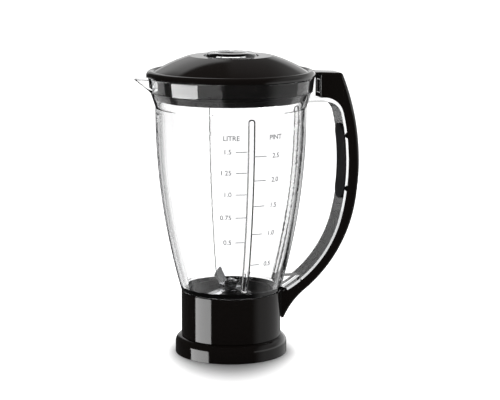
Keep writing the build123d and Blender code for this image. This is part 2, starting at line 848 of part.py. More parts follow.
with BuildPart() as shaft_seal:
    with BuildSketch(Plane.XZ):
        with BuildLine():
            seal_top_z = hub_top_z + shaft_seal_lip
            seal_lip_r = shaft_r + shaft_seal_gap
            Polyline(
                (seal_lip_r, upper_bush_top_z),
                (shaft_seal_r, upper_bush_top_z),
                (shaft_seal_r, hub_top_z),
                (seal_lip_r + shaft_seal_lip, seal_top_z),
                (seal_lip_r, seal_top_z),
                close=True,
            )
        make_face()
    revolve(axis=Axis.Z)
keep(shaft_seal, "shaft_seal")

# Rotor heights, from the seal up to the nut
shaft_shoulder_z = seal_top_z + shoulder_clearance
lower_blade_z = shaft_shoulder_z + shaft_shoulder_height
spacer_z = lower_blade_z + blade_t
upper_blade_z = spacer_z + spacer_thickness
nut_z = upper_blade_z + blade_t
spindle_top_z = nut_z + nut_height
washer_z = hub_bottom_z - washer_gap - washer_t
circlip_z = washer_z - circlip_t
socket_top_z = coupling_bottom_z + coupling_height - coupling_floor

# Drive shaft: bearing journal, blade shoulder, flatted spindle and circlip groove
with BuildPart() as drive_shaft:
    with BuildSketch(Plane.XZ):
        with BuildLine():
            Polyline(
                (0, socket_top_z),
                (shaft_r - shaft_chamfer, socket_top_z),
                (shaft_r, socket_top_z + shaft_chamfer),
                (shaft_r, circlip_z),
                (shaft_r - circlip_groove_depth, circlip_z),
                (shaft_r - circlip_groove_depth, washer_z),
                (shaft_r, washer_z),
                (shaft_r, shaft_shoulder_z),
                (shaft_shoulder_r, shaft_shoulder_z),
                (shaft_shoulder_r, lower_blade_z),
                (spindle_r, lower_blade_z),
                (spindle_r, spindle_top_z),
                (0, spindle_top_z),
                close=True,
            )
        make_face()
    revolve(axis=Axis.Z)
    with BuildSketch(Plane.XY.offset(lower_blade_z)):
        for side in (-1, 1):
            with Locations((0, side * (spindle_flat + spindle_r / 2))):
                Rectangle(2 * spindle_r, spindle_r)
    extrude(amount=nut_z - lower_blade_z, mode=Mode.SUBTRACT)
keep(drive_shaft, "drive_shaft")

# Two crossed blades: each is a stamped strip with one wing bent up and one bent down
for blade_name, blade_angle, blade_z in (
    ("lower_blade", lower_blade_angle, lower_blade_z),
    ("upper_blade", upper_blade_angle, upper_blade_z),
):
    turn = radians(blade_angle)
    along = (cos(turn), sin(turn), 0)
    up_x = blade_bend_x + blade_up_length * cos(radians(blade_up_angle))
    down_x = blade_bend_x + blade_down_length * cos(radians(blade_down_angle))
    with BuildPart() as blade:
        with BuildSketch(radial_plane(blade_angle)):
            with BuildLine():
                middle = blade_z + blade_t / 2
                FilletPolyline(
                    (up_x, middle + blade_up_length * sin(radians(blade_up_angle))),
                    (blade_bend_x, middle),
                    (-blade_bend_x, middle),
                    (-down_x, middle - blade_down_length * sin(radians(blade_down_angle))),
                    radius=blade_bend_r,
                )
            trace(line_width=blade_t)
        extrude(amount=blade_root_width / 2, both=True)
        with BuildSketch(Plane(origin=(0, 0, blade_z), x_dir=along, z_dir=(0, 0, 1))):
            with BuildLine():
                Polyline(
                    (up_x, -blade_tip_width / 2),
                    (up_x - blade_tip_rake, blade_root_width / 2),
                    (-down_x, blade_tip_width / 2),
                    (-down_x + blade_tip_rake, -blade_root_width / 2),
                    close=True,
                )
            make_face()
        extrude(amount=2 * blade_up_length, both=True, mode=Mode.INTERSECT)
        with BuildSketch(Plane(origin=(0, 0, blade_z), x_dir=(1, 0, 0), z_dir=(0, 0, 1))):
            Circle(spindle_r + blade_clearance)
            for side in (-1, 1):
                with Locations((0, side * (spindle_flat + blade_clearance + spindle_r / 2))):
                    Rectangle(2 * spindle_r + cutter_margin, spindle_r, mode=Mode.SUBTRACT)
        extrude(amount=2 * blade_up_length, both=True, mode=Mode.SUBTRACT)
        # Ground bevel along the leading edge of each wing
        half_step = (blade_root_width - blade_tip_width) / 2
        bevel_slope = (blade_t - blade_edge_land) / blade_bevel_width
        for side, reach, far_reach, angle, length in (
            (1, up_x, down_x, blade_up_angle, blade_up_length),
            (-1, down_x, up_x, blade_down_angle, blade_down_length),
        ):
            rise = radians(angle)
            edge_lean = half_step / (reach - blade_tip_rake + far_reach)
            bend_y = blade_tip_width / 2 + edge_lean * (far_reach + blade_bend_x)
            wing = side * (Vector(along) * cos(rise) + Vector(0, 0, sin(rise)))
            across = side * Vector(-sin(turn), cos(turn), 0)
            edge = (wing + across * edge_lean * cos(rise)).normalized()
            bend = side * blade_bend_x * Vector(along) + Vector(0, 0, middle) + bend_y * across
            outward = (across - edge * across.dot(edge)).normalized()
            with BuildSketch(Plane(origin=bend + edge * blade_bevel_start, x_dir=outward, z_dir=edge)):
                with BuildLine():
                    Polyline(
                        (-blade_bevel_width, blade_t / 2),
                        (cutter_margin, blade_t / 2 - bevel_slope * (blade_bevel_width + cutter_margin)),
                        (cutter_margin, blade_t / 2 + cutter_margin),
                        (-blade_bevel_width, blade_t / 2 + cutter_margin),
                        close=True,
                    )
                make_face()
            extrude(amount=length, mode=Mode.SUBTRACT)
    keep(blade, blade_name)

with BuildPart() as blade_spacer:
    with BuildSketch(Plane.XY.offset(spacer_z)):
        Circle(shaft_shoulder_r)
        Circle(spindle_r + blade_clearance, mode=Mode.SUBTRACT)
    extrude(amount=spacer_thickness)
keep(blade_spacer, "blade_spacer")

# Domed hexagon nut on top of the blades
with BuildPart() as blade_nut:
    with BuildSketch(Plane.XY.offset(nut_z)):
        RegularPolygon(nut_flats / 2, 6, major_radius=False)
    extrude(amount=nut_height)
    with BuildSketch(Plane.XZ):
        with BuildLine():
            hex_top_z = nut_z + nut_height
            nut_dome = TangentArc((0, hex_top_z + nut_dome_height), (nut_dome_r, hex_top_z), tangent=(1, 0))
            Polyline(nut_dome @ 1, (nut_dome_r, nut_z), (0, nut_z), nut_dome @ 0)
        make_face()
    revolve(axis=Axis.Z)
    with BuildSketch(Plane.XY.offset(nut_z)):
        Circle(spindle_r + press_clearance)
    extrude(amount=spindle_top_z + spindle_end_gap - nut_z, mode=Mode.SUBTRACT)
keep(blade_nut, "blade_nut")

# Thrust washer and circlip under the hub
with BuildPart() as thrust_washer:
    with BuildSketch(Plane.XY.offset(washer_z)):
        Circle(washer_r)
        Circle(shaft_r + running_clearance, mode=Mode.SUBTRACT)
    extrude(amount=washer_t)
keep(thrust_washer, "thrust_washer")

with BuildPart() as circlip:
    with BuildSketch(Plane.XY.offset(circlip_z + running_clearance)):
        Circle(circlip_r)
        Circle(shaft_r - circlip_groove_depth + running_clearance, mode=Mode.SUBTRACT)
        with Locations((circlip_r, 0)):
            Rectangle(2 * circlip_r, circlip_mouth, mode=Mode.SUBTRACT)
    extrude(amount=circlip_t - 2 * running_clearance)
keep(circlip, "circlip")

# Drive coupling: a toothed cup that takes the motor's drive dog
with BuildPart() as drive_coupling:
    with BuildSketch(Plane.XY.offset(coupling_bottom_z)):
        Circle(coupling_r)
    extrude(amount=coupling_height)
    with BuildSketch(Plane.XY.offset(coupling_bottom_z)):
        Circle(coupling_r - coupling_wall)
        with PolarLocations(coupling_r - coupling_wall - coupling_tooth_depth / 2, coupling_tooth_count):
            Rectangle(coupling_tooth_depth, coupling_tooth_width, mode=Mode.SUBTRACT)
    extrude(amount=coupling_height - coupling_floor, mode=Mode.SUBTRACT)
    with BuildSketch(Plane.XY.offset(coupling_bottom_z)):
        Circle(shaft_r + press_clearance)
    extrude(amount=coupling_height, mode=Mode.SUBTRACT)
    rims = drive_coupling.edges().filter_by(GeomType.CIRCLE).sort_by(SortBy.RADIUS)[-2:]
    chamfer(rims, coupling_chamfer)
keep(drive_coupling, "drive_coupling")
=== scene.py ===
# %% [markdown]
# # A blender jar
# The jar of a kitchen blender: a clear ribbed jar with a strap handle, a black push-in lid with a clear
# filler cap, and a black base that carries the blades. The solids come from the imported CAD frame. This
# lesson gives them their finishes, prints the scale on the wall, and sets up a small white studio.

# %% Load the frame
import math

import bmesh
import bpy
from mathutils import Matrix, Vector


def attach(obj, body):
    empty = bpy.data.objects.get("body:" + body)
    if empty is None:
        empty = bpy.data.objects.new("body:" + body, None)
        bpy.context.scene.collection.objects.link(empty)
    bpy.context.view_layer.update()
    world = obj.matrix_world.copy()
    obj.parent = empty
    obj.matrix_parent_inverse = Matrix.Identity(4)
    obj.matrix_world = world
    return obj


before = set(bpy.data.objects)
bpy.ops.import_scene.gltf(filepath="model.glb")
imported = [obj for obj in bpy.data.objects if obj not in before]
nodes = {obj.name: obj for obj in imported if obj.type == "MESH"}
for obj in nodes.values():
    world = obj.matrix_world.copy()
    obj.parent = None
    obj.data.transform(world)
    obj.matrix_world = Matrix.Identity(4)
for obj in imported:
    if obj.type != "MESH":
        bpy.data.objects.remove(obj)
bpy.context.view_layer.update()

# %% [markdown]
# ## Helpers for finishes
# Colours are picked as sRGB hex values, as a paint chart gives them, but shaders work in linear light, so
# one function turns one into the other. Nodes could be laid out by hand in the shader editor. Here one
# function adds a node, sets its options and joins its sockets, so a finish reads as a short list.

# %% Colour and node helpers
MM = 0.001


def linear(hex_code):
    """Turns an sRGB hex colour into a linear RGBA value."""
    parts = [int(hex_code[i:i + 2], 16) / 255 for i in (1, 3, 5)]
    return [p / 12.92 if p <= 0.04045 else ((p + 0.055) / 1.055) ** 2.4 for p in parts] + [1.0]


def add(tree, kind, sockets=None, **options):
    """Adds a node; a socket gets a value, an output, or a node, which stands for its first output."""
    made = tree.nodes.new(kind)
    for name, value in options.items():
        setattr(made, name, value)
    for name, value in (sockets or {}).items():
        if isinstance(value, bpy.types.Node):
            value = value.outputs[0]
        if isinstance(value, bpy.types.NodeSocket):
            tree.links.new(value, made.inputs[name])
        else:
            made.inputs[name].default_value = value
    return made


def finish(name):
    """Starts a new finish: a material and its empty node tree."""
    made = bpy.data.materials.new(name)
    made.use_nodes = True
    made.node_tree.nodes.clear()
    return made, made.node_tree


def coat(material, *node_names):
    """Gives one finish to CAD nodes."""
    for node_name in node_names:
        data = nodes[node_name].data
        data.materials.clear()
        data.materials.append(material)
    print(material.name, "on", ", ".join(node_names))


print("middle grey in linear light", round(linear("#808080")[0], 3))

# %% [markdown]
# ## Clear SAN
# The jar and the filler cap are SAN, a clear injection-moulded plastic with an IOR of about 1.57. A plain
# glass shader could do, but it would look like thin air on a white ground. The polished surface is sharp in
# reflection, with a trace of haze from washing in patches of about 9 mm. A grey tint at grazing angles is
# painted shade along ribs, edges and outlines, and a little grey absorption darkens the long paths through
# them; together they draw a clear part.

# %% Clear SAN
HAZE_PATCH = 9 * MM
clear_san, tree = finish("clear_moulded_san")
place = add(tree, "ShaderNodeTexCoord").outputs["Object"]
haze = add(tree, "ShaderNodeTexNoise", {"Vector": place, "Scale": 1 / HAZE_PATCH, "Detail": 3.0})
haze_range = add(tree, "ShaderNodeMapRange", {
    "Value": haze, "From Min": 0.35, "From Max": 0.75, "To Min": 0.0, "To Max": 0.035})
# Painted shade: the colour turns grey where the surface is seen edge-on, so ribs, edges and outlines darken.
facing = add(tree, "ShaderNodeLayerWeight", {"Blend": 0.5}).outputs["Facing"]
edge = add(tree, "ShaderNodeMapRange", {"Value": facing, "From Min": 0.55, "From Max": 1.0},
           interpolation_type="SMOOTHSTEP")
edge_shade_tint = add(tree, "ShaderNodeMix", {"Factor": edge, "A": linear("#fdfdfd"), "B": linear("#6d7073")},
           data_type="RGBA").outputs["Result"]
skin = add(tree, "ShaderNodeBsdfPrincipled", {
    "Base Color": edge_shade_tint, "Roughness": haze_range, "IOR": 1.57, "Transmission Weight": 1.0})
depth = add(tree, "ShaderNodeVolumeAbsorption", {"Color": linear("#d6d8da"), "Density": 14.0})
add(tree, "ShaderNodeOutputMaterial", {"Surface": skin, "Volume": depth})
coat(clear_san, "jar", "filler_cap")

# %% [markdown]
# ## Gloss black ABS
# The lid, handle cover, collar and ring are black ABS from a polished mould. The eye sees almost no colour,
# only reflections. An even gloss would look like glass, so moulding ripples of about 14 mm bend the
# reflections a little, and wiping marks of about 6 mm vary the roughness.

# %% Gloss black ABS
WIPE_MARK, MOULD_RIPPLE = 6 * MM, 14 * MM
black_abs, tree = finish("gloss_black_abs")
place = add(tree, "ShaderNodeTexCoord").outputs["Object"]
wipe = add(tree, "ShaderNodeTexNoise", {"Vector": place, "Scale": 1 / WIPE_MARK, "Detail": 4.0})
wipe_range = add(tree, "ShaderNodeMapRange", {
    "Value": wipe, "From Min": 0.3, "From Max": 0.7, "To Min": 0.05, "To Max": 0.11})
ripple = add(tree, "ShaderNodeTexNoise", {"Vector": place, "Scale": 1 / MOULD_RIPPLE, "Detail": 1.0})
ripple_bump = add(tree, "ShaderNodeBump", {"Height": ripple, "Strength": 0.05, "Distance": 0.3 * MM})
skin = add(tree, "ShaderNodeBsdfPrincipled", {
    "Base Color": linear("#1a1614"), "Roughness": wipe_range, "IOR": 1.5, "Specular IOR Level": 0.32,
    "Normal": ripple_bump})
add(tree, "ShaderNodeOutputMaterial", {"Surface": skin})
coat(black_abs, "lid", "handle_cover", "base_collar", "base_ring")

# %% [markdown]
# ## Soft-touch rubber
# The pad on the handle is a dark grey soft-touch rubber, stippled in the mould about every millimetre. The
# stipple could be modelled, but cells of a Voronoi pattern as a bump are enough at this size. Handling
# polishes it in patches, so the roughness varies over about 20 mm.

# %% Soft-touch rubber
STIPPLE, RUBBED_PATCH = 1.1 * MM, 20 * MM
pad_rubber, tree = finish("stippled_soft_touch_rubber")
place = add(tree, "ShaderNodeTexCoord").outputs["Object"]
stipple = add(tree, "ShaderNodeTexVoronoi", {"Vector": place, "Scale": 1 / STIPPLE})
stipple_bump = add(tree, "ShaderNodeBump", {"Height": stipple, "Strength": 0.35, "Distance": 0.2 * MM})
rub = add(tree, "ShaderNodeTexNoise", {"Vector": place, "Scale": 1 / RUBBED_PATCH, "Detail": 2.0})
rub_range = add(tree, "ShaderNodeMapRange", {"Value": rub, "To Min": 0.55, "To Max": 0.75})
skin = add(tree, "ShaderNodeBsdfPrincipled", {
    "Base Color": linear("#39393b"), "Roughness": rub_range, "Normal": stipple_bump})
add(tree, "ShaderNodeOutputMaterial", {"Surface": skin})
coat(pad_rubber, "grip_pad")

# %% [markdown]
# ## Silicone
# The seals are moulded black silicone, smoother than the pad, with a dull bloom in patches of about 5 mm.
# They could get a bump as the pad does, but they hardly show, so only the roughness varies.

# %% Silicone
BLOOM_PATCH = 5 * MM
silicone, tree = finish("moulded_black_silicone")
place = add(tree, "ShaderNodeTexCoord").outputs["Object"]
bloom = add(tree, "ShaderNodeTexNoise", {"Vector": place, "Scale": 1 / BLOOM_PATCH, "Detail": 3.0})
bloom_range = add(tree, "ShaderNodeMapRange", {"Value": bloom, "To Min": 0.4, "To Max": 0.6})
skin = add(tree, "ShaderNodeBsdfPrincipled", {"Base Color": linear("#19191b"), "Roughness": bloom_range})
add(tree, "ShaderNodeOutputMaterial", {"Surface": skin})
coat(silicone, "lid_seal", "jar_seal", "shaft_seal")

# %% [markdown]
# ## Brushed stainless steel
# The blades are stamped from stainless sheet that was brushed one way, so the lines run along the upper
# blade and across the lower one. Anisotropy could stretch the highlights; a stretched noise varies the gloss
# in lines and also shows them. Real brush lines are finer than 0.1 mm. They are drawn 0.4 mm wide and 6 mm
# long, so that they show.

# %% Brushed stainless steel
LINE_WIDE, LINE_LONG = 0.4 * MM, 6 * MM
blade_steel, tree = finish("brushed_stainless_steel")
place = add(tree, "ShaderNodeTexCoord").outputs["Object"]
stretch = add(tree, "ShaderNodeMapping", {
    "Vector": place, "Scale": (1 / LINE_WIDE, 1 / LINE_LONG, 1 / LINE_WIDE)})
brush = add(tree, "ShaderNodeTexNoise", {"Vector": stretch, "Scale": 1.0, "Detail": 2.0})
brush_range = add(tree, "ShaderNodeMapRange", {"Value": brush, "To Min": 0.14, "To Max": 0.3})
brush_bump = add(tree, "ShaderNodeBump", {"Height": brush, "Strength": 0.08, "Distance": 0.05 * MM})
skin = add(tree, "ShaderNodeBsdfPrincipled", {
    "Base Color": linear("#cfd0d2"), "Metallic": 1.0, "Roughness": brush_range, "Normal": brush_bump})
add(tree, "ShaderNodeOutputMaterial", {"Surface": skin})
coat(blade_steel, "lower_blade", "upper_blade")

# %% [markdown]
# ## Turned steel
# The shaft and the small fittings are turned, so fine rings run round them. The rings could be a bump, but
# on pieces this small a wave along the axis is enough, as changes of gloss. Real tool marks are about
# 0.2 mm apart, too fine to show. The wave repeats about every third of its scale, so 8 mm draws them about
# 2.5 mm apart.

# %% Turned steel
MARK_SCALE = 8 * MM
turned_steel, tree = finish("turned_steel")
place = add(tree, "ShaderNodeTexCoord").outputs["Object"]
tool_marks = add(tree, "ShaderNodeTexWave", {"Vector": place, "Scale": 1 / MARK_SCALE, "Distortion": 0.6},
                 wave_type="BANDS", bands_direction="Z").outputs["Fac"]
marks_range = add(tree, "ShaderNodeMapRange", {"Value": tool_marks, "To Min": 0.18, "To Max": 0.32})
skin = add(tree, "ShaderNodeBsdfPrincipled", {
    "Base Color": linear("#c3c4c6"), "Metallic": 1.0, "Roughness": marks_range})
add(tree, "ShaderNodeOutputMaterial", {"Surface": skin})
coat(turned_steel, "drive_shaft", "blade_spacer", "blade_nut", "thrust_washer", "circlip", "handle_screws")

# %% [markdown]
# ## Sintered bronze
# The bushes are pressed from bronze powder and hold oil in their pores, so they shine unevenly. The pores
# could be pitted with a bump, but oil fills them, so they are changes of gloss. Real pores are about 0.1 mm
# across. They are drawn at 0.8 mm, so that they show.

# %% Sintered bronze
PORE = 0.8 * MM
bronze, tree = finish("sintered_bronze")
place = add(tree, "ShaderNodeTexCoord").outputs["Object"]
pores = add(tree, "ShaderNodeTexNoise", {"Vector": place, "Scale": 1 / PORE, "Detail": 2.0})
pores_range = add(tree, "ShaderNodeMapRange", {"Value": pores, "To Min": 0.35, "To Max": 0.6})
skin = add(tree, "ShaderNodeBsdfPrincipled", {
    "Base Color": linear("#a57b4a"), "Metallic": 1.0, "Roughness": pores_range})
add(tree, "ShaderNodeOutputMaterial", {"Surface": skin})
coat(bronze, "upper_bush", "lower_bush")

# %% [markdown]
# ## Black nylon
# The coupling and the blade housing are moulded nylon, tougher and duller than the ABS round them. They
# could share its finish, but gloss would mirror the studio under the blades. A grain of about 1.5 mm in the
# roughness keeps the wide dish from looking flat.

# %% Black nylon
GRAIN = 1.5 * MM
nylon, tree = finish("moulded_black_nylon")
place = add(tree, "ShaderNodeTexCoord").outputs["Object"]
grain = add(tree, "ShaderNodeTexNoise", {"Vector": place, "Scale": 1 / GRAIN, "Detail": 2.0})
grain_range = add(tree, "ShaderNodeMapRange", {"Value": grain, "To Min": 0.4, "To Max": 0.6})
skin = add(tree, "ShaderNodeBsdfPrincipled", {"Base Color": linear("#1f1f20"), "Roughness": grain_range})
add(tree, "ShaderNodeOutputMaterial", {"Surface": skin})
coat(nylon, "drive_coupling", "blade_housing")

# %% [markdown]
# ## The printed scale: ink
# Litres stand to the left of the front rib and pints to its right, in thin grey ink on the outside of the
# wall. An image could carry them, but pieces stay sharp and need no file. Screen ink covers unevenly, so
# its grey varies over about 1.2 mm.

# %% Ink
INK_PATCH = 1.2 * MM
ink, tree = finish("grey_screen_ink")
place = add(tree, "ShaderNodeTexCoord").outputs["Object"]
cover = add(tree, "ShaderNodeTexNoise", {"Vector": place, "Scale": 1 / INK_PATCH, "Detail": 2.0})
tone = add(tree, "ShaderNodeMix", {"Factor": cover, "A": linear("#b4b6ba"), "B": linear("#c8cacd")},
           data_type="RGBA").outputs["Result"]
skin = add(tree, "ShaderNodeBsdfPrincipled", {"Base Color": tone, "Roughness": 0.6})
add(tree, "ShaderNodeOutputMaterial", {"Surface": skin})
print("finishes", len(bpy.data.materials))

# %% [markdown]
# ## The printed scale: the curved wall
# The wall is a surface of revolution with an arc for its profile, so a shrinkwrap isn't needed. Artwork is
# made flat in millimetres, then each vertex is carried on to the wall: across becomes an angle round the
# axis, and up becomes height. Each piece is a slab that stands 0.15 mm proud. That is thicker than real
# ink, so that it stays clear of the facets of the wall.

# %% Bending artwork on to the wall
BODY_R, ARC_TOP, BODY_ARC_R = 70.0, 228.0, 620.18
INK_THICK = 0.15


def wall_r(z):
    """Outer radius of the jar at a height, both in millimetres."""
    return BODY_R - BODY_ARC_R + math.sqrt(BODY_ARC_R**2 - (ARC_TOP - z) ** 2)


def print_on_wall(bm, angle, z):
    """Bends flat artwork in millimetres on to the front wall, at an angle right of the front rib."""
    for v in bm.verts:
        height = z + v.co.y
        r = wall_r(height) + v.co.z
        turn = math.radians(angle) + v.co.x / wall_r(z)
        v.co = Vector((r * math.sin(turn), -r * math.cos(turn), height)) * MM


def slab(bm):
    """Gives flat artwork a thickness, outwards from the wall."""
    made = bmesh.ops.extrude_face_region(bm, geom=bm.faces[:])
    tops = [v for v in made["geom"] if isinstance(v, bmesh.types.BMVert)]
    bmesh.ops.translate(bm, verts=tops, vec=(0, 0, INK_THICK))
    bmesh.ops.recalc_face_normals(bm, faces=bm.faces[:])


def ink_piece(name, bm):
    """Turns a finished bmesh into a printed piece on the jar."""
    mesh = bpy.data.meshes.new(name)
    bm.to_mesh(mesh)
    bm.free()
    piece = bpy.data.objects.new(name, mesh)
    bpy.context.scene.collection.objects.link(piece)
    mesh.materials.append(ink)
    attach(piece, "jar_body")


print("wall radius in mm", {z: round(wall_r(z), 1) for z in (100, 150, 200)})

# %% [markdown]
# ## The printed scale: ticks
# Each mark is a short line at the height of its volume. A flat grid with eight cells along its length
# follows the wall when it is bent; one long face would cut through it. Real lines are about 0.5 mm wide.
# They are drawn 0.8 mm wide, so that they show.

# %% Ticks
TICK_LINE, TICK_CELLS = 0.8, 8
LITRE_TICK, PINT_TICK = (-12.5, -4.0), (1.5, 11.5)
litre_marks = {"1.5": 199.4, "1.25": 180.3, "1.0": 160.3, "0.75": 138.8, "0.5": 115.3}
pint_marks = {"2.5": 194.8, "2.0": 172.7, "1.5": 149.0, "1.0": 122.6, "0.5": 93.1}


def tick(name, left, right, z):
    """One mark between two angles from the front rib."""
    bm = bmesh.new()
    bmesh.ops.create_grid(bm, x_segments=TICK_CELLS, y_segments=1, size=0.5)
    length = math.radians(right - left) * wall_r(z)
    bmesh.ops.scale(bm, vec=(length, TICK_LINE, 1), verts=bm.verts[:])
    slab(bm)
    print_on_wall(bm, (left + right) / 2, z)
    ink_piece(name, bm)


for text, z in litre_marks.items():
    tick(f"litre_tick_{text}", *LITRE_TICK, z)
for text, z in pint_marks.items():
    tick(f"pint_tick_{text}", *PINT_TICK, z)
print("ticks", len(litre_marks) + len(pint_marks))

# %% [markdown]
# ## The printed scale: figures
# The numbers and the two headings are plain printed letters. Their outlines could be drawn by hand, but
# Blender's text object sets them evenly, with a small offset for a bolder stroke. It is made a mesh before
# it is bent, because a text object can't follow the wall.

# %% Figures
FIGURE_HEIGHT, FIGURE_BOLD, JOIN_WITHIN = 6.2, 0.1, 0.001
LITRE_FIGURE, PINT_FIGURE = -15.5, 16.5
LITRE_HEADING, PINT_HEADING, HEADING_Z = -9.5, 13.5, 211.5


def figures(name, text, angle, z, align):
    """A number or unit, set as text, made a mesh and bent on to the wall."""
    curve = bpy.data.curves.new(name, "FONT")
    curve.body = text
    curve.size = FIGURE_HEIGHT
    curve.align_x = align
    curve.align_y = "CENTER"
    curve.offset = FIGURE_BOLD
    flat = bpy.data.objects.new(name + "_flat", curve)
    mesh = bpy.data.meshes.new_from_object(flat)
    bm = bmesh.new()
    bm.from_mesh(mesh)
    bpy.data.objects.remove(flat)
    bpy.data.curves.remove(curve)
    bpy.data.meshes.remove(mesh)
    bmesh.ops.remove_doubles(bm, verts=bm.verts[:], dist=JOIN_WITHIN)
    slab(bm)
    print_on_wall(bm, angle, z)
    ink_piece(name, bm)


for text, z in litre_marks.items():
    figures(f"litre_figure_{text}", text, LITRE_FIGURE, z, "RIGHT")
for text, z in pint_marks.items():
    figures(f"pint_figure_{text}", text, PINT_FIGURE, z, "LEFT")
figures("litre_heading", "LITRE", LITRE_HEADING, HEADING_Z, "RIGHT")
figures("pint_heading", "PINT", PINT_HEADING, HEADING_Z, "LEFT")

# %% [markdown]
# ## Camera
# The photograph is a long-lens view, about ten degrees down, with the handle turned a little towards the
# back. A constraint could aim the camera at the jar, but the fitted angles are known, so they are set as
# they are. The jar stands left of the middle, which a small sideways shift gives without turning the camera.

# %% Camera
LENS_PX, FRAME_PX, SENSOR, SHIFT = 1740.0, 500.0, 36.0, 0.038
azimuth, pitch = math.radians(-16.0), math.radians(10.05)
reach, height = 1.600, 0.4277
camera_data = bpy.data.cameras.new("camera")
camera_data.sensor_width = SENSOR
camera_data.lens = LENS_PX / FRAME_PX * SENSOR
camera_data.shift_x = SHIFT
camera = bpy.data.objects.new("camera", camera_data)
camera.location = (math.sin(azimuth) * reach, -math.cos(azimuth) * reach, height)
level = math.cos(pitch)
look = Vector((-math.sin(azimuth) * level, math.cos(azimuth) * level, -math.sin(pitch)))
camera.rotation_euler = look.to_track_quat("-Z", "Y").to_euler()
bpy.context.scene.collection.objects.link(camera)
bpy.context.scene.camera = camera
print("camera", [round(v, 3) for v in camera.location], round(camera_data.lens, 1), "mm")

# %% [markdown]
# ## A white studio
# A clear jar with black ends is hard to light: white paper makes the walls vanish, and the gloss mirrors the
# whole room. A real studio sets up paper, flags and softboxes. They could be modelled, but here the floor and
# the world answer by direction: so far behind the jar, so far to its right, so far up. A patch of light is a
# product of soft steps in those values.

# %% Directions and patches of light
BEHIND = Vector((-math.sin(azimuth), math.cos(azimuth), 0))
RIGHT = Vector((math.cos(azimuth), math.sin(azimuth), 0))


def patch(tree, *edges):
    """A soft-edged patch of light; each edge is a value, where it starts and ends, and the levels there."""
    level = None
    for value, start, end, before, after in edges:
        edge = add(tree, "ShaderNodeMapRange", {
            "Value": value, "From Min": start, "From Max": end, "To Min": before, "To Max": after},
            interpolation_type="SMOOTHSTEP")
        if level is None:
            level = edge
        else:
            level = add(tree, "ShaderNodeMath", {0: level, 1: edge}, operation="MULTIPLY")
    return level


print("behind", [round(v, 3) for v in BEHIND], "right", [round(v, 3) for v in RIGHT])

# %% [markdown]
# ## What the clear walls show
# Through the walls the eye sees the paper behind the jar, and in front at the left the side of a softbox.
# Rays bent elsewhere meet a dark room, which draws the ribs and edges as grey lines. The light path tells
# such rays from those that black gloss has mirrored: light that only ran along inside a wall went through
# its surface twice at most.

# %% White paper and mirrored rays
WALL_CROSSINGS = 2.5


def white_paper(tree, behind, right):
    """How white the studio looks through the clear walls, from 0 to 1."""
    paper_behind = patch(tree, (behind, 0.22, 0.32, 0.0, 1.0), (right, 0.16, 0.3, 1.0, 0.8))
    left_front = patch(tree, (behind, -0.05, 0.12, 1.0, 0.0), (right, -0.3, -0.08, 1.0, 0.0))
    return add(tree, "ShaderNodeMath", {0: paper_behind, 1: left_front}, operation="MAXIMUM")


def reflected(tree, path):
    """One for a ray that has met a mirror surface on its way, none for other rays."""
    return add(tree, "ShaderNodeMath", {0: path["Glossy Depth"], 1: 1.0}, operation="MINIMUM")


def after_reflection(tree, path):
    """One for a ray that black gloss has mirrored, none for light that only ran along inside a clear wall."""
    crossings = path["Transmission Depth"]
    few = add(tree, "ShaderNodeMath", {0: crossings, 1: WALL_CROSSINGS}, operation="LESS_THAN")
    piped = add(tree, "ShaderNodeMath", {0: few, 1: path["Is Transmission Ray"]}, operation="MULTIPLY")
    not_piped = add(tree, "ShaderNodeMath", {0: 1.0, 1: piped}, operation="SUBTRACT")
    return add(tree, "ShaderNodeMath", {0: reflected(tree, path), 1: not_piped}, operation="MULTIPLY")


print("light inside a wall crosses its surface fewer than", WALL_CROSSINGS, "times")

# %% [markdown]
# ## Floor
# The jar stands on a wide sheet of white paper. A curved sweep would be the real thing; a flat sheet is
# enough, because the world behind it is as white. It stays out of mirror reflections, so that the black
# gloss keeps its contrast.

# %% Floor sheet
FLOOR_HALF, FLOOR_DROP = 6.0, 0.3 * MM
bm = bmesh.new()
bmesh.ops.create_grid(bm, x_segments=1, y_segments=1, size=FLOOR_HALF)
floor_mesh = bpy.data.meshes.new("floor")
bm.to_mesh(floor_mesh)
bm.free()
floor = bpy.data.objects.new("floor", floor_mesh)
floor.location = (0, 0, -FLOOR_DROP)
floor.visible_glossy = False
bpy.context.scene.collection.objects.link(floor)
print("floor", 2 * FLOOR_HALF, "m wide")

# %% [markdown]
# ## Shadow on the floor
# The soft shadow lies close to the base at the sides and reaches further to the front. A shadow catcher
# could keep it, but that needs a second picture to lay it on. Here the paper glows to white outside an oval,
# and inside it the glow fades towards the base: a painted shadow, laid over the top softbox's own shadow,
# while the rest is white.

# %% Oval of the shadow
SHADOW_START, SHADOW_SIDE, SHADOW_FRONT = 46 * MM, 68 * MM, 145 * MM
paper, tree = finish("white_paper_sweep")
place = add(tree, "ShaderNodeTexCoord").outputs["Object"]
away = add(tree, "ShaderNodeVectorMath", {0: place}, operation="LENGTH").outputs["Value"]
heading = add(tree, "ShaderNodeVectorMath", {0: place}, operation="NORMALIZE")
right = add(tree, "ShaderNodeVectorMath", {0: heading, 1: RIGHT}, operation="DOT_PRODUCT").outputs["Value"]
behind = add(tree, "ShaderNodeVectorMath", {0: heading, 1: BEHIND}, operation="DOT_PRODUCT").outputs["Value"]
across = add(tree, "ShaderNodeMath", {0: right, 1: SHADOW_SIDE}, operation="DIVIDE")
forward = add(tree, "ShaderNodeMath", {0: behind, 1: SHADOW_FRONT}, operation="DIVIDE")
oval = add(tree, "ShaderNodeCombineXYZ", {"X": across, "Y": forward})
oval_length = add(tree, "ShaderNodeVectorMath", {0: oval}, operation="LENGTH").outputs["Value"]
shadow_edge = add(tree, "ShaderNodeMath", {0: 1.0, 1: oval_length}, operation="DIVIDE")
shadow_width = add(tree, "ShaderNodeMath", {0: shadow_edge, 1: SHADOW_START}, operation="SUBTRACT")
past_start = add(tree, "ShaderNodeMath", {0: away, 1: SHADOW_START}, operation="SUBTRACT")
past_base = add(tree, "ShaderNodeMath", {0: past_start, 1: shadow_width}, operation="DIVIDE")
